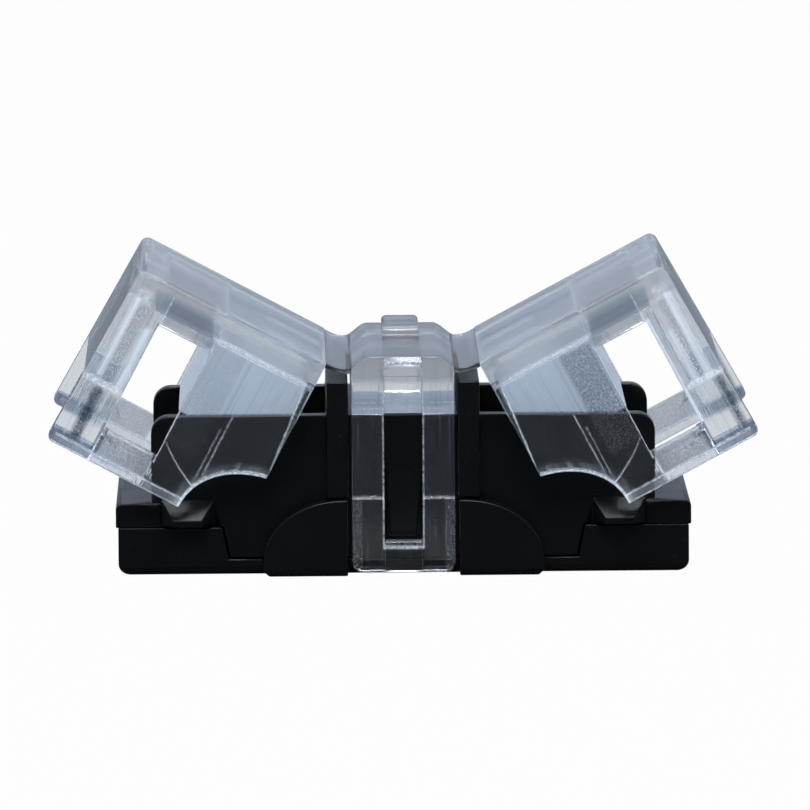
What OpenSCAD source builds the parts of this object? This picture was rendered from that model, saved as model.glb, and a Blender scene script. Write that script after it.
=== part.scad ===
// Snap connector that joins two light strips end to end without solder.
// A black housing carries two stamped contact bars. One clear moulding snaps over
// its middle and carries a wing cover on a thin bending film at each side.
// Millimetres, +Z up, X along the strips, origin at the centre of the underside.
// The covers are drawn at the angle they rest at, partly open.

/* [Strip and housing] */
// Width of the light strip that slides in
strip_width = 10; // [8:0.5:12]
// Space at each side of the strip in its channel
strip_side_gap = 0.25; // [0.15:0.05:0.4]
// Thickness of the channel's side walls
wall = 1.05; // [0.95:0.05:1.25]
// Length of the black housing along the strip
housing_length = 24.1; // [23.5:0.1:25.5]
// Height of the side walls above the underside
wall_height = 6.67; // [6.5:0.01:6.9]
// Height of the bed that the strip lies on
bed_height = 3; // [2.9:0.05:3.1]
// Radius of the side walls' top end corners
wall_corner = 0.75; // [0.5:0.05:1]

/* [Centre bridge] */
// Half the length of the bridge between the two strips
bridge_half = 3.2; // [3.1:0.05:3.4]
// Thickness of each rib across the bridge
rib = 0.9; // [0.8:0.05:1]
// Height of the ribs
rib_height = 8.13; // [7.95:0.01:8.2]
// How far the ribs stand out past the side walls
rib_reach = 0.7; // [0.5:0.05:0.8]

/* [Bottom cover] */
// Height of the joint between cover and housing at the ends
split_height = 2; // [1.9:0.05:2.1]
// Thickness of the cover's plate
cover_plate = 0.65; // [0.55:0.05:0.75]
// Length of each end block
block_length = 4.45; // [4.2:0.05:4.6]
// How far the end blocks stand out past the side walls
block_reach = 0.1; // [0.05:0.05:0.15]
// Seam left between the black mouldings
seam = 0.05; // [0.03:0.01:0.08]
// Radius of the round underside corners
underside_corner = 0.5; // [0.3:0.05:0.6]
// Chamfer along the underside
underside_chamfer = 0.3; // [0.2:0.05:0.4]
// Length of each foot
foot_length = 3.54; // [3.3:0.02:3.8]
// Height of each foot
foot_height = 3.2; // [3:0.05:3.4]
// Height of a foot's straight lower part
foot_base = 0.63; // [0.5:0.01:0.75]

/* [Latches] */
// Distance from the housing's end to the middle of a latch bump
bump_from_end = 3.01; // [2.85:0.01:3.15]
// Length of a latch bump where it meets the wall
bump_length = 2.25; // [2.05:0.05:2.4]
// Length of a latch bump's nose
nose_length = 1.22; // [1:0.02:1.4]
// Height of the top of a bump's ramp
bump_top = 3.15; // [3:0.05:3.2]
// Height of a bump's nose edge
nose_height = 2.33; // [2.2:0.01:2.45]
// Height of a bump's flat lower side
bump_bottom = 2.05; // [2.05:0.01:2.15]
// How far the noses reach past a cover's inner face
latch_hold = 0.45; // [0.3:0.05:0.5]
// Clearance round the noses
latch_gap = 0.05; // [0.05:0.01:0.08]

/* [Wing covers] */
// Angle that the covers stand open at in the photograph
rest_angle = 28; // [20:1:35]
// Thickness of a cover's top plate
cover_top = 1.35; // [1.2:0.05:1.45]
// Thickness of a cover's side skirts
skirt = 1; // [0.95:0.05:1.2]
// Space between a skirt and the housing wall
skirt_gap = 0.2; // [0.2:0.01:0.3]
// Space between the covers and the ribs
cover_rib_gap = 0.1; // [0.08:0.01:0.15]
// Space between the covers and the ends of the side walls
cover_end_gap = 0.15; // [0.1:0.01:0.25]
// Draft angle of the end face
draft = 1.6; // [1:0.1:2.5]
// Height of the closed skirts' lower edge
skirt_foot = 0.5; // [0.4:0.05:0.6]
// Height of the closed end wall's lower edge
end_wall_foot = 3.75; // [3.6:0.05:3.9]
// Height of the latch window
window_height = 4.9; // [4.6:0.05:5]
// Length of the block that presses the strip down
press_length = 4.4; // [4:0.05:4.5]
// Height of the closed pressing block's lower face
press_foot = 3.9; // [3.85:0.05:4.1]
// Space between the pressing block and the side walls
press_gap = 0.15; // [0.1:0.01:0.25]
// Space between a cover's arched edge and a foot
foot_gap = 0.12; // [0.08:0.01:0.2]

/* [Centre clip and hinge films] */
// Rise of the clip's top above the covers' tops
clip_rise = 0.52; // [0.4:0.02:0.7]
// Space between the clip and the ribs
clip_rib_gap = 0.15; // [0.1:0.01:0.2]
// Space between the clip's legs and the housing
clip_leg_gap = 0.1; // [0.08:0.01:0.15]
// Thickness of the legs above their step
clip_leg = 0.7; // [0.65:0.05:0.8]
// Height of the step in the legs
clip_step = 3.31; // [3.2:0.01:3.5]
// Height of the legs' lower edge
clip_foot = 0.18; // [0.1:0.02:0.3]
// Half the width of the windows in the legs
window_half = 0.8; // [0.75:0.01:0.9]
// Thickness of the hinge films
film = 0.2; // [0.18:0.01:0.25]
// Space between the hinge films and the ribs
film_gap = 0.35; // [0.3:0.01:0.4]

/* [Contacts] */
// Distance between the middles of the two contact bars
contact_pitch = 5; // [4:0.1:5.4]
// Width of a contact bar
bar_width = 1.8; // [1.6:0.05:2]
// Thickness of the contact metal
metal = 0.3; // [0.2:0.02:0.32]
// Height of the prong tips
prong_tip = 3.8; // [3.6:0.05:3.8]

/* [Hidden] */
$fn = 48;

black = [0.03, 0.03, 0.035];
clear = [0.72, 0.79, 0.88, 0.5];

// Across the strip
channel_half = strip_width / 2 + strip_side_gap;
wall_out = channel_half + wall;
block_out = wall_out + block_reach;
skirt_in = wall_out + skirt_gap;
skirt_out = skirt_in + skirt;
nose_out = skirt_in + latch_hold;
track_out = nose_out + latch_gap;
rib_out = wall_out + rib_reach;
leg_in = wall_out + clip_leg_gap;
leg_out = leg_in + clip_leg;
press_half = channel_half - press_gap;
pad_half = channel_half - 2 * seam;
film_half = min(leg_out, skirt_out) - 0.15;

// Along the strip
half_length = housing_length / 2;
block_start = half_length - block_length;
bump_centre = half_length - bump_from_end;
cover_end = half_length - 0.1;
wall_end = half_length - 1.5;
clip_half = bridge_half - rib - clip_rib_gap;
foot_in = clip_half + clip_rib_gap + 0.04;
foot_out = foot_in + foot_length;
lid_in = bridge_half + cover_rib_gap;
lid_end_in = wall_end + cover_end_gap;
lid_end = half_length + 0.19;
press_in = lid_in + 0.1;
press_out = press_in + press_length;
window_length = bump_length + 2 * latch_gap + 0.12;

// Up from the underside
lid_top = rib_height + film_gap + film;
clip_top = lid_top + clip_rise;
hinge_x = (clip_half + lid_in) / 2;
hinge_z = lid_top - film / 2;
lid_plate = lid_top - cover_top;
window_foot = bump_bottom - latch_gap;
shoulder_in = 1.4;
bend_tangent = 0.35;
shoulder_out = hinge_x - bend_tangent;
bend_radius = bend_tangent / tan(rest_angle / 2);

// Swept ring of a latch bump about a hinge, at the skirts' inner faces
ramp_cut = bump_top - (bump_top - nose_height) * skirt_gap / (skirt_gap + latch_hold);
side_cut = bump_length / 2 - (bump_length - nose_length) / 2 * skirt_gap / (skirt_gap + latch_hold);
track_in_r = norm([bump_centre - side_cut - hinge_x, hinge_z - ramp_cut]) - latch_gap;
track_out_r = norm([bump_centre + side_cut - hinge_x, hinge_z - bump_bottom]) + latch_gap;

// Arc of points, used for smooth flat outlines
function arc(c, rx, rz, from, to, steps) =
    [for (i = [0 : steps]) let (a = from + (to - from) * i / steps)
        [c[0] + rx * cos(a), c[1] + rz * sin(a)]];

// Smooth shoulder from the clip's top down to the hinge film
function shoulder(from, to) =
    [for (i = [0 : 8]) let (x = from + (to - from) * i / 8)
        [x, lid_top + (clip_top - lid_top)
            * (1 + cos(180 * (x - shoulder_in) / (shoulder_out - shoulder_in))) / 2]];

// Extrudes an outline of X and Z across the part
module across(y0, y1) {
    translate([0, y1, 0]) rotate([90, 0, 0]) linear_extrude(height = y1 - y0) children();
}

// Extrudes an outline of Y and Z along the part
module along(x0, x1) {
    translate([x0, 0, 0]) rotate([90, 0, 90]) linear_extrude(height = x1 - x0) children();
}

module box(x, y, z) {
    translate([x[0], y[0], z[0]]) cube([x[1] - x[0], y[1] - y[0], z[1] - z[0]]);
}

module both_y() {
    children();
    mirror([0, 1, 0]) children();
}

module both_x() {
    children();
    mirror([1, 0, 0]) children();
}

// Outline of a foot on the right, grown by a clearance
module foot_outline(grow) {
    centre_x = foot_in + 0.22;
    polygon(concat([[foot_in - grow, 0]],
        [[foot_out + grow, 0]],
        arc([centre_x, foot_base], foot_out - centre_x + grow, foot_height - foot_base + grow, 0, 90, 18),
        [[foot_in - grow, foot_height + grow]]));
}

// A latch bump or clip catch: a ramp from z_top out to a nose, with slanted sides
module latch(centre, base, nose, z_top, z_nose, z_foot, reach) {
    intersection() {
        along(centre - base / 2, centre + base / 2)
            polygon([[wall_out - 0.2, z_foot], [reach, z_foot], [reach, z_nose],
                     [wall_out, z_top], [wall_out - 0.2, z_top]]);
        translate([0, 0, z_foot - 1]) linear_extrude(height = z_top - z_foot + 2)
            polygon([[centre - base / 2, wall_out - 0.2], [centre + base / 2, wall_out - 0.2],
                     [centre + base / 2, wall_out], [centre + nose / 2, reach],
                     [centre - nose / 2, reach], [centre - base / 2, wall_out]]);
    }
}

// Outline of the end blocks' slanted inner side, from the plate up to the split
module block_outline(shift) {
    slope = 0.28;
    polygon([[block_start - slope + shift, cover_plate - 0.1], [block_start + shift, split_height + 0.01],
             [cover_end, split_height + 0.01], [cover_end, cover_plate - 0.1]]);
}

// Closes the underside: plate, end blocks and four quarter-round feet, moulded in one
module bottom_cover() {
    color(black) difference() {
        union() {
            difference() {
                intersection() {
                    union() {
                        box([-cover_end, cover_end], [-block_out, block_out], [0, cover_plate]);
                        both_x() across(-block_out, block_out) block_outline(0);
                        box([-block_start - 0.1, block_start + 0.1], [-pad_half, pad_half],
                            [0, split_height + 0.01]);
                    }
                    // Underside chamfer along both long edges
                    along(-cover_end, cover_end)
                        polygon([[-block_out + underside_chamfer, 0], [block_out - underside_chamfer, 0],
                                 [block_out, underside_chamfer], [block_out, split_height],
                                 [-block_out, split_height], [-block_out, underside_chamfer]]);
                }
                // Round underside corners at both ends
                both_x() across(-block_out - 1, block_out + 1) difference() {
                    translate([cover_end - underside_corner, -1])
                        square([underside_corner + 1, underside_corner + 1]);
                    translate([cover_end - underside_corner, underside_corner])
                        circle(r = underside_corner);
                }
            }
            // Feet
            both_x() both_y() difference() {
                across(wall_out + seam, skirt_out) foot_outline(0);
                along(foot_in - 1, foot_out + 1)
                    polygon([[skirt_out - 0.27, -0.01], [skirt_out + 0.1, -0.01], [skirt_out + 0.1, 0.36]]);
                // Small break at the foot's outer bottom corner
                across(wall_out - 1, skirt_out + 1)
                    polygon([[foot_out - 0.25, -0.01], [foot_out + 0.1, -0.01], [foot_out + 0.1, 0.34]]);
            }
            // Pegs that locate the housing
            for (x = [-peg_offset, peg_offset])
                translate([x, 0, split_height - 0.3]) cylinder(r = peg_radius, h = peg_height + 0.3);
        }
        // Seats of the contact bars
        for (y = [-contact_pitch / 2, contact_pitch / 2])
            box([-bar_end - seam, bar_end + seam], [y - bar_width / 2 - seam, y + bar_width / 2 + seam],
                [split_height - metal - 0.02, split_height + 1]);
    }
}

peg_offset = 1.7;
peg_radius = 0.6;
peg_height = 1.1;
bar_end = bridge_half + 2.3;
prong_from = bridge_half + 0.9;
prong_to = bridge_half + 2.1;

// Carries the strip beds, side walls, bridge ribs, latch bumps and clip catches
module upper_housing() {
    color(black) difference() {
        union() {
            // Bed and bridge
            difference() {
                box([-half_length, half_length], [-wall_out, wall_out], [split_height, bed_height]);
                end_rounds();
            }
            both_x() difference() {
                box([bump_centre + bump_length / 2, half_length], [-block_out, block_out],
                    [split_height, bed_height]);
                end_rounds();
            }
            box([-bridge_half, bridge_half], [-wall_out, wall_out], [bed_height - 0.1, wall_height]);
            // Side walls with round top end corners
            both_y() across(channel_half, wall_out) difference() {
                translate([-wall_end, bed_height - 0.1])
                    square([2 * wall_end, wall_height - bed_height + 0.1]);
                both_2d() difference() {
                    translate([wall_end - wall_corner, wall_height - wall_corner])
                        square([wall_corner + 1, wall_corner + 1]);
                    translate([wall_end - wall_corner, wall_height - wall_corner]) circle(r = wall_corner);
                }
            }
            // Skirts of the side walls that reach down outside the cover's pad
            both_y() across(channel_half, wall_out)
                polygon([[-block_start + seam, split_height + 0.1], [-block_start + seam, split_height],
                         [-block_start + 0.28 + seam, cover_plate + seam],
                         [block_start - 0.28 - seam, cover_plate + seam],
                         [block_start - seam, split_height], [block_start - seam, split_height + 0.1]]);
            // Ribs across the bridge, standing out past the walls above the feet
            both_x() {
                box([bridge_half - rib, bridge_half], [-wall_out, wall_out], [bed_height, rib_height]);
                box([bridge_half - rib, bridge_half], [-rib_out, rib_out],
                    [foot_height + seam, rib_height]);
            }
            // Latch bumps and clip catches
            both_y() {
                both_x() latch(bump_centre, bump_length, nose_length, bump_top, nose_height, bump_bottom,
                    nose_out);
                latch(0, 2 * window_half - 0.12, 2 * window_half - 0.5, 4.5, 1.9, 1.65, leg_out - 0.15);
            }
        }
        // Peg holes
        for (x = [-peg_offset, peg_offset])
            translate([x, 0, split_height - 1]) cylinder(r = peg_radius + 0.02, h = peg_height + 1.1);
        // Slots that the contact prongs come up through
        both_x() for (y = [-contact_pitch / 2, contact_pitch / 2])
            box([prong_from - 0.1, prong_to + 0.1], [y - bar_width / 2 - 0.1, y + bar_width / 2 + 0.1],
                [split_height - 1, bed_height + 1]);
    }
}

module both_2d() {
    children();
    mirror([1, 0]) children();
}

// Rounds the top outer corners of the housing's ends
module end_rounds() {
    both_x() across(-block_out - 1, block_out + 1) difference() {
        translate([half_length - 0.25, bed_height - 0.25]) square([1.25, 1.25]);
        translate([half_length - 0.25, bed_height - 0.25]) circle(r = 0.25);
    }
}

// Stamped bar that joins one conductor of both strips, with bent-up pointed prongs
module contact_bar(y) {
    color([0.83, 0.68, 0.4]) translate([0, y, 0]) {
        base = split_height - metal - 0.02;
        box([-bar_end, bar_end], [-bar_width / 2, bar_width / 2], [base, base + metal]);
        both_x() both_y() across(bar_width / 2 - metal, bar_width / 2)
            polygon([[prong_from, base], [prong_to, base], [prong_to, bed_height],
                     [(prong_from + prong_to) / 2, prong_tip], [prong_from, bed_height]]);
    }
}

module contact_bar_front() {
    contact_bar(-contact_pitch / 2);
}

module contact_bar_back() {
    contact_bar(contact_pitch / 2);
}

// Clear saddle that snaps over the bridge and carries both films
module centre_clip() {
    color(clear) {
        difference() {
            intersection() {
                across(-skirt_out, skirt_out)
                    polygon(concat(arc([-clip_half + 0.4, clip_foot + 0.4], 0.4, 0.4, 180, 270, 6),
                        arc([clip_half - 0.4, clip_foot + 0.4], 0.4, 0.4, 270, 360, 6),
                        [for (i = [8 : -1 : 0]) shoulder(shoulder_in, clip_half)[i]],
                        [for (i = [0 : 8]) let (p = shoulder(shoulder_in, clip_half)[i]) [-p[0], p[1]]]));
                along(-clip_half, clip_half)
                    polygon([[-skirt_out, clip_foot], [skirt_out, clip_foot], [skirt_out, clip_step],
                             [leg_out, clip_step], [leg_out, clip_top], [-leg_out, clip_top],
                             [-leg_out, clip_step], [-skirt_out, clip_step]]);
            }
            // Room for the bridge
            box([-clip_half - 1, clip_half + 1], [-leg_in, leg_in], [-1, wall_height + 0.08]);
            both_y() {
                // Window that takes the catch
                box([-window_half, window_half], [leg_in, skirt_out + 1], [1.45, clip_top - 0.85]);
                // Lead-in ramp under the window
                along(-window_half, window_half)
                    polygon([[leg_in - 0.1, clip_foot - 0.1], [leg_in + 0.6, clip_foot - 0.1],
                             [leg_in + 0.45, 1.2], [leg_in - 0.1, 1.2]]);
                // Sloped notch in the top edge above the window
                along(-window_half, window_half)
                    polygon([[leg_out + 0.1, clip_top - 0.75], [leg_out + 0.1, clip_top + 0.1],
                             [leg_out - 0.35, clip_top + 0.1]]);
            }
        }
        // Raised pad on the top
        intersection() {
            across(1.6, leg_out - 0.15)
                polygon(concat([[-0.78, clip_top - 0.1], [0.78, clip_top - 0.1]],
                    arc([0.78 - 0.2, clip_top + 0.15], 0.2, 0.2, 0, 90, 5),
                    arc([-0.78 + 0.2, clip_top + 0.15], 0.2, 0.2, 90, 180, 5)));
            along(-1, 1)
                polygon(concat([[1.6, clip_top - 0.1], [leg_out - 0.15, clip_top - 0.1]],
                    arc([leg_out - 0.35, clip_top + 0.15], 0.2, 0.2, 0, 90, 5),
                    arc([1.8, clip_top + 0.15], 0.2, 0.2, 90, 180, 5)));
        }
    }
}

// Thin bending film between the clip and the right cover, curved as the cover rests
module right_hinge_film() {
    centre = [shoulder_out, hinge_z + bend_radius];
    end = lid_in - hinge_x;
    out = [cos(rest_angle), sin(rest_angle)];
    up = [-sin(rest_angle), cos(rest_angle)];
    color(clear) across(-film_half, film_half)
        polygon(concat([[clip_half, hinge_z - film / 2]],
            arc(centre, bend_radius + film / 2, bend_radius + film / 2, -90, -90 + rest_angle, 8),
            [[hinge_x, hinge_z] + end * out - film / 2 * up,
             [hinge_x, hinge_z] + end * out + film / 2 * up],
            arc(centre, bend_radius - film / 2, bend_radius - film / 2, -90 + rest_angle, -90, 8),
            [for (i = [7 : -1 : 0]) shoulder(clip_half, shoulder_out)[i]]));
}

module left_hinge_film() {
    mirror([1, 0, 0]) right_hinge_film();
}

// Right cover as it is closed: a clear lid with skirts that latch over the bumps
module lid_closed() {
    flare = (lid_top - skirt_foot) * tan(draft);
    difference() {
        union() {
            difference() {
                intersection() {
                    across(-skirt_out, skirt_out)
                        polygon(concat([[lid_in, skirt_foot]],
                            arc([lid_end - 0.3, skirt_foot + 0.3], 0.3, 0.3, 270, 360, 5),
                            arc([lid_end - flare - 0.35, lid_top - 0.35], 0.35, 0.35, 0, 90, 6),
                            [[lid_in, lid_top]]));
                    along(lid_in, lid_end)
                        polygon(concat([[-skirt_out, skirt_foot], [skirt_out, skirt_foot]],
                            arc([skirt_out - 0.2, lid_top - 0.2], 0.2, 0.2, 0, 90, 4),
                            arc([-skirt_out + 0.2, lid_top - 0.2], 0.2, 0.2, 90, 180, 4)));
                }
                // Inside of the cover, and the strip's way out under the end wall
                box([lid_in - 1, lid_end_in], [-skirt_in, skirt_in], [skirt_foot - 1, lid_plate]);
                box([lid_in - 1, lid_end + 1], [-skirt_in, skirt_in], [skirt_foot - 1, end_wall_foot]);
            }
            // Block that presses the strip on the prongs
            difference() {
                box([press_in, press_out], [-press_half, press_half], [press_foot, lid_plate + 0.2]);
                for (y = [-contact_pitch / 2, contact_pitch / 2])
                    box([press_in - 1, prong_to + 0.6],
                        [y - bar_width / 2 - 0.1, y + bar_width / 2 + 0.1],
                        [press_foot - 1, lid_plate - 1.6]);
            }
        }
        both_y() {
            // Latch window
            box([bump_centre - window_length / 2, bump_centre + window_length / 2],
                [skirt_in - 0.1, skirt_out + 1], [window_foot, window_foot + window_height]);
            // Arched edge round the foot
            across(skirt_in - 0.1, skirt_out + 1) foot_outline(foot_gap);
            // Relief that the bump passes through as the cover swings
            intersection() {
                across(skirt_in - 0.1, track_out) difference() {
                    translate([hinge_x, hinge_z]) circle(r = track_out_r);
                    translate([hinge_x, hinge_z]) circle(r = track_in_r);
                }
                box([lid_in - 1, bump_centre + window_length / 2], [0, skirt_out],
                    [skirt_foot - 1, ramp_cut + latch_gap]);
            }
            // Lead-in ramp under the window
            along(bump_centre - window_length / 2, bump_centre + window_length / 2)
                polygon([[skirt_in - 0.1, skirt_foot - 0.1], [skirt_in + 0.68, skirt_foot - 0.1],
                         [skirt_in + 0.42, window_foot - 0.3], [skirt_in - 0.1, window_foot - 0.3]]);
            // Chamfer along the skirt's inner lower edge
            along(lid_in - 1, lid_end + 1)
                polygon([[skirt_in - 0.1, skirt_foot - 0.1], [skirt_in + 0.42, skirt_foot - 0.1],
                         [skirt_in - 0.1, skirt_foot + 0.84]]);
        }
    }
}

// Right cover at the angle it rests at
module right_lid() {
    color(clear) translate([hinge_x, 0, hinge_z]) rotate([0, -rest_angle, 0])
        translate([-hinge_x, 0, -hinge_z]) lid_closed();
}

module left_lid() {
    mirror([1, 0, 0]) right_lid();
}

bottom_cover();
upper_housing();
contact_bar_front();
contact_bar_back();
centre_clip();
left_hinge_film();
right_hinge_film();
left_lid();
right_lid();
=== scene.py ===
"""Snap connector for two light strips: black housing, clear clip and two clear wing covers."""
import math

import bmesh
import bpy
from mathutils import Matrix, Vector


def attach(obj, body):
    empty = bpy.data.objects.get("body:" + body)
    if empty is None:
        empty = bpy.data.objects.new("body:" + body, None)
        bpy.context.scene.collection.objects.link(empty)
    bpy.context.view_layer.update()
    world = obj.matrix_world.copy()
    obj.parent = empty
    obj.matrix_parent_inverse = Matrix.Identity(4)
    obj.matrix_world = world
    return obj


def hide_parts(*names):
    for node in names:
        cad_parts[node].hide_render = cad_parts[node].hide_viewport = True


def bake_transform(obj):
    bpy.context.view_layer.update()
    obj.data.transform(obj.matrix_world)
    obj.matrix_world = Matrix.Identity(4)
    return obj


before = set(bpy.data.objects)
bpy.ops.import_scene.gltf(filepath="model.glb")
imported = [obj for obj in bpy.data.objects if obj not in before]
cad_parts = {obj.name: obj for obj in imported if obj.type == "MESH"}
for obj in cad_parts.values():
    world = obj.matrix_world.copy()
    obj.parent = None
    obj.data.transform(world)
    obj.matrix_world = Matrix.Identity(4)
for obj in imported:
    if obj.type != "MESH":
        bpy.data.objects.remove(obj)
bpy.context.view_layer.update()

MM = 0.001
MM_PER_METRE = 1000.0


# ---------------------------------------------------------------- upper housing
# The black moulding that carries the strips: two beds with side walls, the centre
# bridge with its two ribs, four latch bumps and two catches for the clear clip.
# Injection moulded in satin black plastic, so every edge is slightly round.

MIX_FIRST, MIX_SECOND, MIX_RESULT = 6, 7, 2  # the colour sockets of a Mix node
MERGE_MM = 0.02     # points closer than this are one point
FLAT_ANGLE = 0.6    # faces that differ by less, in degrees, count as one flat face
DEEP_BLACK = (0.0008, 0.0009, 0.0011, 1.0)
WORN_BLACK = (0.0060, 0.0070, 0.0090, 1.0)


class Wire:
    """A socket of a material, so that shader maths reads as plain sums."""

    def __init__(self, finish, socket):
        self.finish = finish
        self.socket = socket

    def maths(self, operation, first, second=0.0):
        return self.finish.node("Math", {"operation": operation}, {0: first, 1: second})

    def __add__(self, other):
        return self.maths("ADD", self, other)

    def __sub__(self, other):
        return self.maths("SUBTRACT", self, other)

    def __rsub__(self, other):
        return self.maths("SUBTRACT", other, self)

    def __mul__(self, other):
        return self.maths("MULTIPLY", self, other)

    def __truediv__(self, other):
        return self.maths("DIVIDE", self, other)

    def __abs__(self):
        return self.maths("ABSOLUTE", self)

    def root(self):
        return self.maths("SQRT", self)

    __radd__ = __add__
    __rmul__ = __mul__


class Finish:
    """One procedural material, built node by node from the piece's own coordinates."""

    def __init__(self, name):
        self.material = bpy.data.materials.new(name)
        self.material.use_nodes = True
        self.tree = self.material.node_tree
        self.tree.nodes.clear()

    def node(self, kind, settings, sockets, output=0):
        """Adds a node, fills or links its sockets and gives back one of its outputs."""
        made = self.tree.nodes.new("ShaderNode" + kind)
        for key, value in settings.items():
            setattr(made, key, value)
        for key, value in sockets.items():
            if isinstance(value, Wire):
                self.tree.links.new(value.socket, made.inputs[key])
            else:
                made.inputs[key].default_value = value
        return Wire(self, made.outputs[output])

    def here(self):
        """The point on the piece, in the piece's own coordinates, in metres."""
        return self.node("TexCoord", {}, {}, "Object")

    def along(self, point, axis):
        """How far point lies along "X", "Y" or "Z", in millimetres."""
        return self.node("SeparateXYZ", {}, {0: point}, axis) * MM_PER_METRE

    def stretched(self, point, scale):
        """point with its axes scaled, so that noise runs out into lines along the small one."""
        return self.node("Mapping", {}, {"Vector": point, "Scale": scale})

    def noise(self, point, size_mm, detail=2.0, roughness=0.5):
        """Soft random shade from 0 to 1 with patches about size_mm across."""
        return self.node("TexNoise", {}, {
            "Vector": point, "Scale": MM_PER_METRE / size_mm,
            "Detail": detail, "Roughness": roughness}, "Fac")

    def range(self, value, low, high):
        """0 where value is at low or beyond, 1 at high or beyond, and even in between."""
        return self.node("MapRange", {"clamp": True}, {
            "Value": value, "From Min": low, "From Max": high, "To Min": 0.0, "To Max": 1.0})

    def mix(self, factor, first, second):
        """The first colour where factor is 0, the second where it is 1."""
        return self.node("Mix", {"data_type": "RGBA"}, {
            "Factor": factor, MIX_FIRST: first, MIX_SECOND: second}, MIX_RESULT)

    def dents(self, height, depth_mm):
        """Small unevenness of the surface, depth_mm deep where height is 1."""
        return self.node("Bump", {}, {
            "Strength": 0.5, "Distance": depth_mm * MM, "Height": height}, "Normal")

    def done(self, surface):
        output = self.tree.nodes.new("ShaderNodeOutputMaterial")
        self.tree.links.new(surface.socket, output.inputs["Surface"])
        return self.material


def black_plastic():
    """Satin black with fine grain, faint clouds, pale specks and upright drag lines."""
    finish = Finish("satin black plastic")
    point = finish.here()
    grain = finish.noise(point, 0.11, 3.0, 0.65)
    cloud = finish.noise(point, 2.2, 3.0)
    speck = finish.range(finish.noise(point, 0.15, 1.0), 0.68, 0.78)
    drag = finish.noise(finish.stretched(point, (1.0, 1.0, 0.08)), 0.35, 2.0)
    surface = finish.node("BsdfPrincipled", {}, {
        "Base Color": finish.mix(speck * 0.5 + cloud * 0.3, DEEP_BLACK, WORN_BLACK),
        "Roughness": cloud * 0.16 + speck * 0.15 + 0.22,
        "IOR": 1.5, "Specular IOR Level": 0.13,
        "Normal": finish.dents(grain + drag * 0.35, 0.01)}, "BSDF")
    return finish.done(surface)


def softened(node, title, edge_mm, least_angle=28.0, steps=2, join_flats=True):
    """Copy of a CAD node with its sharp edges rounded, as a mould or a press leaves them.

    Edges sharper than least_angle, in degrees, are rounded in so many steps. join_flats
    joins the triangles of each flat face first. The housing is rounded without that.
    """
    shape = bmesh.new()
    shape.from_mesh(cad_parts[node].data)
    bmesh.ops.remove_doubles(shape, verts=shape.verts, dist=MERGE_MM * MM)
    if join_flats:
        bmesh.ops.dissolve_limit(shape, angle_limit=math.radians(FLAT_ANGLE),
                                 verts=shape.verts, edges=shape.edges)
    sharp = [edge for edge in shape.edges
             if edge.is_manifold and edge.calc_face_angle() > math.radians(least_angle)]
    bmesh.ops.bevel(shape, geom=sharp, offset=edge_mm * MM, offset_type="OFFSET", segments=steps,
                    profile=0.5, affect="EDGES", material=-1, clamp_overlap=False)
    for face in shape.faces:
        face.smooth = True
    mesh = bpy.data.meshes.new(title)
    shape.to_mesh(mesh)
    shape.free()
    piece = bpy.data.objects.new(title, mesh)
    bpy.context.scene.collection.objects.link(piece)
    even = piece.modifiers.new("even shading", "WEIGHTED_NORMAL")
    even.keep_sharp = True
    return piece


black = black_plastic()
housing = softened("upper_housing", "housing_moulding", 0.06, join_flats=False)
housing.data.materials.append(black)
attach(housing, "base")
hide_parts("upper_housing")


# ---------------------------------------------------------------- bottom cover
# The black plate that closes the underside, with an end block under each bed and
# four quarter-round feet that the closed covers arch over. Same satin black plastic.

under = softened("bottom_cover", "bottom_plate_moulding", 0.06)
under.data.materials.append(black)
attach(under, "base")
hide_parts("bottom_cover")


# ---------------------------------------------------------------- contact bars
# Two bars stamped from thin sheet and plated, one for each conductor. Bent-up
# prongs at both ends pierce the strips' copper pads when the covers press down.

DULL_PLATING = (0.62, 0.47, 0.24, 1.0)
BRIGHT_PLATING = (0.86, 0.70, 0.42, 1.0)


def plated_metal():
    """Plated sheet whose rolling marks run along the bar."""
    finish = Finish("plated contact metal")
    rolling = finish.noise(finish.stretched(finish.here(), (1.0, 14.0, 14.0)), 2.0, 3.0, 0.6)
    surface = finish.node("BsdfPrincipled", {}, {
        "Base Color": finish.mix(rolling, DULL_PLATING, BRIGHT_PLATING),
        "Metallic": 1.0, "Roughness": rolling * 0.18 + 0.2}, "BSDF")
    return finish.done(surface)


plated = plated_metal()
for side in ("front", "back"):
    bar = softened("contact_bar_" + side, side + "_contact_stamping", 0.03)
    bar.data.materials.append(plated)
    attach(bar, "base")
    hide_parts("contact_bar_" + side)


# ---------------------------------------------------------------- centre clip
# The middle of the one clear moulding. Its two legs straddle the bridge and their
# windows snap over black catches. Clear polished plastic with faint blue-grey body.

PALE_BODY = (0.93, 0.96, 1.0, 1.0)
# The dark colour below paints shade as well as dark specks; the two scuff colours paint highlights
# as well as scuffs and frosting.
DARK_SPECK_AND_SHADE = (0.03, 0.055, 0.10, 1.0)
SCUFF_AND_GLINT_LIT = (0.84, 0.90, 0.98, 1.0)
SCUFF_AND_GLINT_BACKLIT = (0.88, 0.94, 1.0, 1.0)
CLEAR_IOR = 1.43


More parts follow.
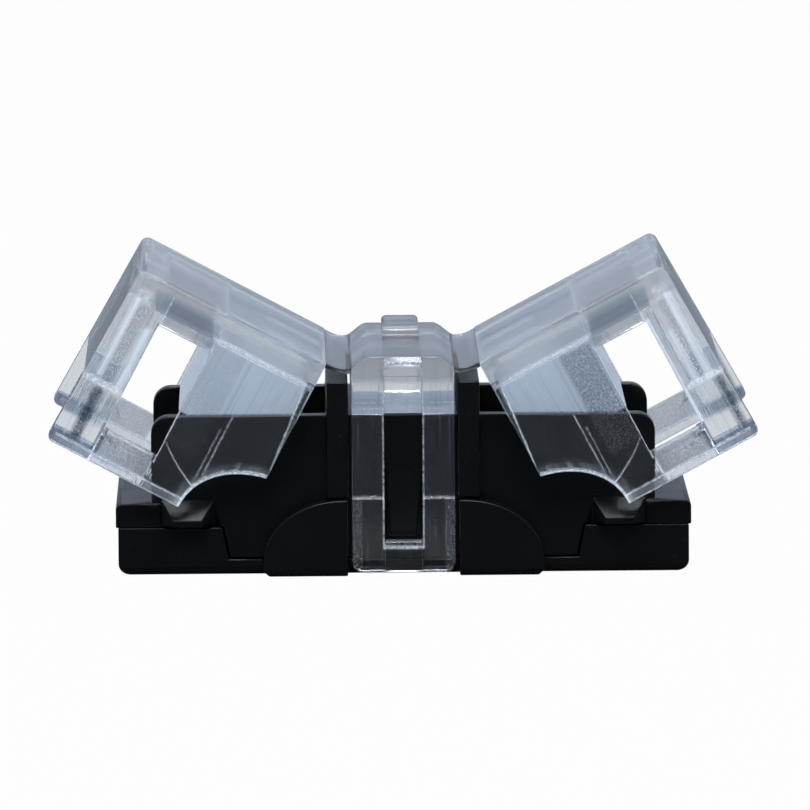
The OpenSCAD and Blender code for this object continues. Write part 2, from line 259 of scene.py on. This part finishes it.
class Clear(Finish):
    """Clear plastic whose marks are laid out along the piece as it is when closed.

    out runs away from the hinge, up towards the top and depth from the middle to either
    skirt, all in millimetres. outside is 1 on the front and back faces, 0 further in.
    """

    def __init__(self, title, hinge, turn, side):
        super().__init__(title)
        self.point = self.here()
        self.own = self.node("Mapping", {"vector_type": "TEXTURE"}, {
            "Vector": self.point, "Location": hinge, "Rotation": (0.0, turn, 0.0),
            "Scale": (side, 1.0, 1.0)})
        self.out = self.along(self.own, "X")
        self.up = self.along(self.own, "Z")
        self.depth = abs(self.along(self.point, "Y"))
        self.outside = self.range(self.depth, 6.3, 6.4)
        self.fine = self.noise(self.point, 0.075, 2.0, 0.6)
        self.dots = self.range(self.fine, 0.50, 0.60)
        self.broken = self.range(self.noise(self.point, 0.22, 3.0, 0.7), 0.40, 0.62)
        self.wave = self.noise(self.own, 1.3, 2.0)

    def span(self, value, low, high, soft):
        """1 where value lies between low and high, with an edge soft millimetres wide."""
        return (self.range(value, low - soft, low + soft)
                * self.range(value, high + soft, high - soft))

    def patch(self, out, up, soft):
        """1 on a rectangle of the skirts, given as two distances out and two heights."""
        return self.span(self.out, *out, soft) * self.span(self.up, *up, soft) * self.outside

    def surface(self, frost_and_glints, shade, height, haze):
        """Clear plastic, white by frost_and_glints, which is scuffs and frosting and also painted
        highlights, darker by shade, which is dark specks and also painted shade, blurred by haze.
        """
        dent = self.dents(height, 0.04)
        glass = self.node("BsdfPrincipled", {}, {
            "Base Color": self.mix(shade, PALE_BODY, DARK_SPECK_AND_SHADE), "Roughness": haze,
            "IOR": CLEAR_IOR, "Transmission Weight": 1.0, "Normal": dent}, "BSDF")
        lit = self.node("BsdfDiffuse", {}, {"Color": SCUFF_AND_GLINT_LIT, "Normal": dent}, "BSDF")
        backlit = self.node("BsdfTranslucent", {}, {"Color": SCUFF_AND_GLINT_BACKLIT, "Normal": dent}, "BSDF")
        scuff_and_glint = self.node("MixShader", {}, {0: 0.55, 1: lit, 2: backlit}, "Shader")
        return self.done(self.node("MixShader", {}, {0: frost_and_glints, 1: glass, 2: scuff_and_glint}, "Shader"))


def clip_plastic():
    finish = Clear("clear clip plastic", (0.0, 0.0, 0.0), 0.0, 1.0)
    drag = finish.noise(finish.stretched(finish.own, (1.0, 0.3, 0.03)), 0.16, 3.0, 0.6)
    leg = finish.range(finish.up, 8.3, 7.9)
    across = abs(finish.along(finish.point, "X"))

    # Painted highlights, broken up: bright lines down the leg's sides and beside the window, its
    # foot and the leg's step
    sides = finish.span(across, 2.18, 2.26, 0.03) * finish.range(finish.up, 7.2, 7.0)
    reveal = finish.span(across, 0.80, 0.87, 0.03) * finish.span(finish.up, 1.2, 7.6, 0.1)
    sill = finish.span(across, -1.0, 0.84, 0.03) * finish.span(finish.up, 1.16, 1.30, 0.04)
    step = finish.span(finish.up, 3.24, 3.32, 0.02) * finish.range(across, 0.80, 0.90)
    turn = finish.span(finish.up, 7.00, 7.05, 0.02) + finish.span(finish.up, 7.24, 7.30, 0.02)
    toe = finish.span(finish.up, -0.05, 0.16, 0.05)
    white = ((sides * 0.8 + reveal * 0.6 + sill * 0.8 + step * 0.35 + turn * 0.35 + toe * 0.5)
             * (finish.broken * 0.7 + 0.3))

    # Eroded specks down the lower leg; painted shade on the notch, the pad and the shoulders over
    # the window, and painted glints along the crown
    specks = finish.span(across, 1.75, 2.15, 0.05) * finish.range(finish.up, 3.3, 3.2)
    middle = finish.span(across, -1.0, 0.82, 0.03)
    notch = middle * finish.span(finish.up, 8.05, 8.95, 0.04)
    crown = middle * finish.span(finish.up, 8.86, 9.04, 0.04)
    pad = middle * finish.range(finish.up, 9.1, 9.2)
    shoulders = finish.range(finish.up, 7.9, 8.2) * (1.0 - middle)
    core = (middle * finish.span(finish.up, 7.1, 8.3, 0.05)
            * finish.range(finish.depth, 6.2, 6.1))

    # White: painted highlights along the edges and glints along the crown, with real specks, drag
    # lines and the frosted core.
    frost_and_glints = ((white + crown * finish.dots * 0.7 + specks * finish.dots * 0.22
              + finish.range(drag, 0.60, 0.74) * leg * 0.12) * finish.outside
             + core * (finish.range(drag, 0.50, 0.62) * 0.5 + 0.15))
    # Darker: painted shade on the notch, the pad, the shoulders and the face above 7 mm, with real
    # drag lines and specks.
    shade = ((finish.range(drag, 0.45, 0.30) * leg * 0.25 + notch * 0.3 + specks * 0.3
              + finish.range(finish.up, 7.0, 7.2) * (0.42 - middle * 0.2)) * finish.outside
             + pad * 0.65 + shoulders * 0.22)
    height = finish.wave * 0.5 + drag * leg * 0.5
    haze = finish.range(finish.up, 8.0, 8.8) * 0.12 + 0.06
    return finish.surface(frost_and_glints, shade, height, haze)


clear = clip_plastic()
clip = softened("centre_clip", "clear_clip_moulding", 0.05)
clip.data.materials.append(clear)
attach(clip, "base")
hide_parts("centre_clip")


# ---------------------------------------------------------------- hinge films
# The thin strips of the clear moulding that bend when a cover is opened or closed.
# Each is a copy with its edges rounded, left where it lies at rest.

for side, across in (("left", -1.0), ("right", 1.0)):
    film = softened(side + "_hinge_film", side + "_film", 0.02, least_angle=60.0, steps=1)
    film.data.materials.append(clear)
    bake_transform(film)
    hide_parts(side + "_hinge_film")


# ---------------------------------------------------------------- wing covers
# The two clear lids. Each has a top, two skirts with a latch window, an arched edge
# that clears a foot, an end wall and a frosted block that presses the strip down.

HINGE_OUT, HINGE_UP = 2.725, 8.58   # the hinge line, in millimetres
OPEN_ANGLE = 28.0                   # how far the covers stand open at rest, in degrees


def cover_plastic(title, across, lit_side):
    """lit_side is how strongly the painted highlights beside the window show, from 0 to 1, higher
    on the more brightly lit right cover.
    """
    finish = Clear(title, (across * HINGE_OUT * MM, 0.0, HINGE_UP * MM),
                   math.radians(-OPEN_ANGLE * across), across)
    drag = finish.noise(finish.stretched(finish.own, (1.0, 0.5, 0.025)), 0.15, 3.0, 0.7)
    skirts = finish.outside * finish.range(finish.up, -1.0, -1.3)
    slant = finish.out - finish.up * 0.09

    # White marks: painted highlights along edges and corners, broken up like scuffs, and scratches:
    # rods and foot of the end wall, window edges, rim, drag lines, inner edge
    rod = finish.patch((8.68, 8.94 + 0.06 * lit_side), (-4.7 - 0.3 * lit_side, -1.0), 0.08)
    second = finish.patch((7.68 + 0.40 * lit_side, 8.05 + 0.28 * lit_side),
                          (-4.85, -2.0 - 0.4 * lit_side), 0.15)
    foot = finish.patch((7.75, 9.38), (-5.06, -4.80), 0.05)
    lines = (finish.patch((8.08, 8.14), (-7.6, -5.1), 0.03)
             + finish.patch((8.92, 8.99), (-7.6, -5.1), 0.03))
    jamb = finish.patch((7.46, 7.58 + 0.12 * lit_side), (-6.5, -1.6), 0.03)
    post = finish.patch((5.06, 5.11), (-6.9, -1.5), 0.02)
    sill = (finish.patch((5.3, 7.35), (-6.68, -6.60), 0.02)
            + finish.patch((5.3, 7.2), (-7.02, -6.98), 0.02) * 0.4)
    above = (finish.patch((5.06, 5.11), (-1.62, -0.35), 0.03)
             + finish.patch((7.46, 7.53), (-1.62, -0.35), 0.03))
    ledge = finish.patch((0.9, 5.1), (-1.12, -0.98), 0.04)
    rim = finish.patch((3.3, 9.25), (-7.74, -7.68), 0.02)
    swirl = finish.patch((8.35, 8.95), (-1.10, -0.55), 0.12)
    scratch = (finish.patch((2.98, 3.04), (-7.0, -3.6), 0.02)
               + finish.patch((3.20, 3.24), (-6.6, -4.4), 0.02))
    inner = (finish.patch((0.42, 0.50), (-5.3, -0.4), 0.03)
             + finish.patch((0.5, 1.0), (-5.2, -1.2), 0.02) * finish.span(slant, 1.00, 1.05, 0.03))
    painted_streak_highlights = rod + second * 0.85 + jamb * (0.10 + 0.85 * lit_side)
    edge_highlights_and_marks = (foot * 0.95 + lines * 0.35 + post * 0.8 + sill * 0.7 + above * 0.45 + ledge * 0.55
               + rim * 0.7 + swirl * 0.6 + scratch * 0.4 + inner * 0.9)
    white = (painted_streak_highlights * (finish.range(drag, 0.36, 0.56) * 0.5 + 0.5)
             + edge_highlights_and_marks * (finish.broken * 0.65 + 0.35))

    # Eroded specks: beside the rods, on the ramp, beside the pressing block, at the inner edge
    beside = finish.patch((8.15 + 0.2 * lit_side, 8.64), (-4.8, -1.2), 0.10)
    ramp = finish.patch((5.2, 7.4), (-7.65, -6.55), 0.05)
    strip = finish.patch((3.6, 5.05), (-5.9, -1.3), 0.10) * (0.3 + 0.7 * lit_side)
    brow = finish.patch((0.50, 0.98), (-5.2, -0.9), 0.02) * finish.range(slant, 1.04, 0.98)
    specks = beside + ramp + strip * 0.7

    # Painted highlights along the arched edge, on an ellipse round the foot, and along the edges at
    # the bottom
    arch_out = (finish.out + 0.165) / 3.44
    arch_up = (finish.up + 7.95) / 2.69
    ellipse = (arch_out * arch_out + arch_up * arch_up).root()
    near_arch = finish.range(finish.up, -8.2, -8.1) * skirts
    arch = finish.span(ellipse, 1.0, 1.035, 0.012) * near_arch
    halo = finish.range(ellipse, 1.17, 1.02) * near_arch * finish.range(drag, 0.44, 0.60)
    bottom = finish.patch((3.3, 9.3), (-8.3, -8.04), 0.02)
    sole = finish.patch((3.3, 9.3), (-8.02, -7.72), 0.02)

    # Painted shade: under the end wall, round the window, on the top and its front edge, and where
    # walls meet
    below = (finish.patch((8.26 + 0.60 * lit_side, 8.74 + 0.50 * lit_side), (-7.5, -5.15), 0.10)
             * (finish.dots * -0.45 + 1.0))
    jamb_side = (finish.patch((7.34, 7.66), (-7.75, -6.4), 0.03)
                 * finish.range(finish.depth, 7.40, 7.30))
    top = finish.range(finish.up, -1.12, -0.92)
    edge = finish.patch((0.4, 9.6), (-0.96, 0.2), 0.05)
    dim = finish.patch((5.15, 7.45), (-1.55, -0.55), 0.04)
    # body is painted shade over the outer skirt round the window and the end wall.
    body = finish.span(finish.out, 5.1, 9.7, 0.05) * finish.span(finish.up, -4.9, -0.9, 0.1)
    cut = finish.span(finish.depth, 6.56, 6.94, 0.02) * finish.range(finish.up, -2.0, -2.2)
    block = (finish.span(finish.out, 0.5, 5.2, 0.05) * finish.range(finish.depth, 6.0, 5.9)
             * finish.range(finish.up, -1.1, -1.2))

    # White: partly painted highlights (edge lines, arch, bottom, halo, sole and the top's front
    # edge), partly real frosting, specks and scuffs.
    frost_and_glints = (white + (specks - strip * 0.45) * finish.dots * 0.42 + brow * finish.dots * 0.10
             + edge * 0.06 + (arch + bottom * 0.85) * (finish.broken * 0.6 + 0.4)
             + halo * 0.30 + sole * 0.10
             + finish.range(drag, 0.60, 0.72) * skirts * finish.broken * 0.06 + block * 0.55)
    # Darker: painted shade, apart from the dark specks and drag lines.
    shade = (below * (finish.broken * 0.35 + 0.65) + jamb_side * 0.8
             + specks * (1.0 - finish.dots) * 0.42 + edge * 0.30 + body * 0.22 + dim * 0.20
             + cut * 0.8 + strip * (1.0 - finish.dots) * 0.28 + top * 0.18
             + brow * (0.75 - finish.dots * 0.4)
             + finish.range(drag, 0.44, 0.34) * skirts * 0.18)
    height = finish.wave * 0.5 + drag * skirts * 0.6 + finish.fine * specks * 0.3
    haze = (finish.range(finish.depth, 7.2, 6.8) * skirts * 0.07 + block * 0.6 + ramp * 0.3
            + top * 0.12 + 0.05)
    return finish.surface(frost_and_glints, shade, height, haze)


for side, across in (("left", -1.0), ("right", 1.0)):
    cover = softened(side + "_lid", side + "_cover_moulding", 0.05)
    # The right cover stands on the lit side, so its painted highlights show more strongly.
    lit_side = 0.5 + 0.5 * across
    cover.data.materials.append(cover_plastic("clear " + side + " cover plastic", across, lit_side))
    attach(cover, side + "_cover")
    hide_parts(side + "_lid")


# ---------------------------------------------------------------- studio
# A floor that is white to the camera and dim to the connector, a soft blue-grey room
# and three large lamps. Seen through clear plastic, the floor is a little over half
# as bright, and dim again further in front, where the plastic only mirrors it.

PURE_WHITE = (1.0, 1.0, 1.0, 1.0)
DIM_FLOOR = (0.09, 0.105, 0.125, 1.0)
ROOM_FRONT = (0.09, 0.10, 0.12, 1.0)
ROOM_BACK = (0.38, 0.435, 0.54, 1.0)
ROOM_OVERHEAD = (1.32, 1.40, 1.50, 1.0)


def floor_paint():
    finish = Finish("pale studio floor")
    seen = finish.node("LightPath", {}, {}, "Is Camera Ray")
    mirrored = finish.node("LightPath", {}, {}, "Is Glossy Ray")
    through = finish.node("LightPath", {}, {}, "Is Transmission Ray")
    near = finish.range(finish.along(finish.here(), "Y"), -30.0, -22.0)
    matt = finish.node("BsdfDiffuse", {}, {"Color": DIM_FLOOR}, "BSDF")
    glow = finish.node("Emission", {}, {"Color": PURE_WHITE, "Strength": 1.0}, "Emission")
    return finish.done(finish.node("MixShader", {}, {
        "Fac": seen * 0.98 + mirrored * 0.03 + through * near * 0.56,
        1: matt, 2: glow}, "Shader"))


bpy.ops.mesh.primitive_plane_add(size=8.0, location=(0, 0, -0.00001))
floor = bpy.context.object
floor.name = "studio_floor"
floor.data.materials.append(floor_paint())


class Room(Finish):
    """The room round the studio: pale behind the connector, dim in front, bright overhead."""

    def __init__(self, title):
        room = bpy.data.worlds.new(title)
        room.use_nodes = True
        self.tree = room.node_tree
        self.tree.nodes.clear()
        toward = self.node("TexCoord", {}, {}, "Generated")
        back = self.range(self.node("SeparateXYZ", {}, {0: toward}, "Y"), -0.35, 0.15)
        overhead = self.range(self.node("SeparateXYZ", {}, {0: toward}, "Z"), 0.30, 0.75)
        colour = self.mix(overhead, self.mix(back, ROOM_FRONT, ROOM_BACK), ROOM_OVERHEAD)
        glow = self.node("Background", {}, {"Color": colour, "Strength": 1.0}, "Background")
        output = self.tree.nodes.new("ShaderNodeOutputWorld")
        self.tree.links.new(glow.socket, output.inputs["Surface"])
        bpy.context.scene.world = room


def soft_lamp(title, place, size, watts):
    """A square lamp at place that faces the connector."""
    lamp = bpy.data.lights.new(title, "AREA")
    lamp.shape = "SQUARE"
    lamp.size = size
    lamp.energy = watts
    holder = bpy.data.objects.new(title, lamp)
    bpy.context.scene.collection.objects.link(holder)
    holder.location = place
    holder.rotation_mode = "QUATERNION"
    holder.rotation_quaternion = (-Vector(place)).to_track_quat("-Z", "Y")


Room("studio room")
soft_lamp("overhead softbox", (0.0, -0.22, 0.40), 0.26, 3.6)
soft_lamp("left softbox", (-0.40, 0.06, 0.22), 0.25, 0.5)
soft_lamp("right softbox", (0.40, 0.06, 0.22), 0.25, 0.5)


# ---------------------------------------------------------------- viewpoint
# A long lens from the front, a little above the connector. It stands half a degree
# to one side and is tilted by less than half a degree, as the photograph was taken.

AIM = Vector((0.000154, 0.0, 0.00640))
AZIMUTH, ELEVATION, ROLL = -0.55, 6.2, -0.40    # degrees
DISTANCE = 0.557                                # metres
viewer = bpy.data.cameras.new("viewer")
viewer.sensor_width = 36.0
viewer.lens = 585.0
viewer.clip_start = 0.05
viewer.clip_end = 20.0
camera = bpy.data.objects.new("viewer", viewer)
bpy.context.scene.collection.objects.link(camera)
turn, lift = math.radians(AZIMUTH), math.radians(ELEVATION)
back = Vector((math.sin(turn) * math.cos(lift), -math.cos(turn) * math.cos(lift), math.sin(lift)))
camera.location = AIM + back * DISTANCE
camera.rotation_mode = "QUATERNION"
camera.rotation_quaternion = ((-back).to_track_quat("-Z", "Y")
                              @ Matrix.Rotation(math.radians(ROLL), 3, "Z").to_quaternion())
bpy.context.scene.camera = camera
bpy.context.scene.view_settings.view_transform = "Standard"
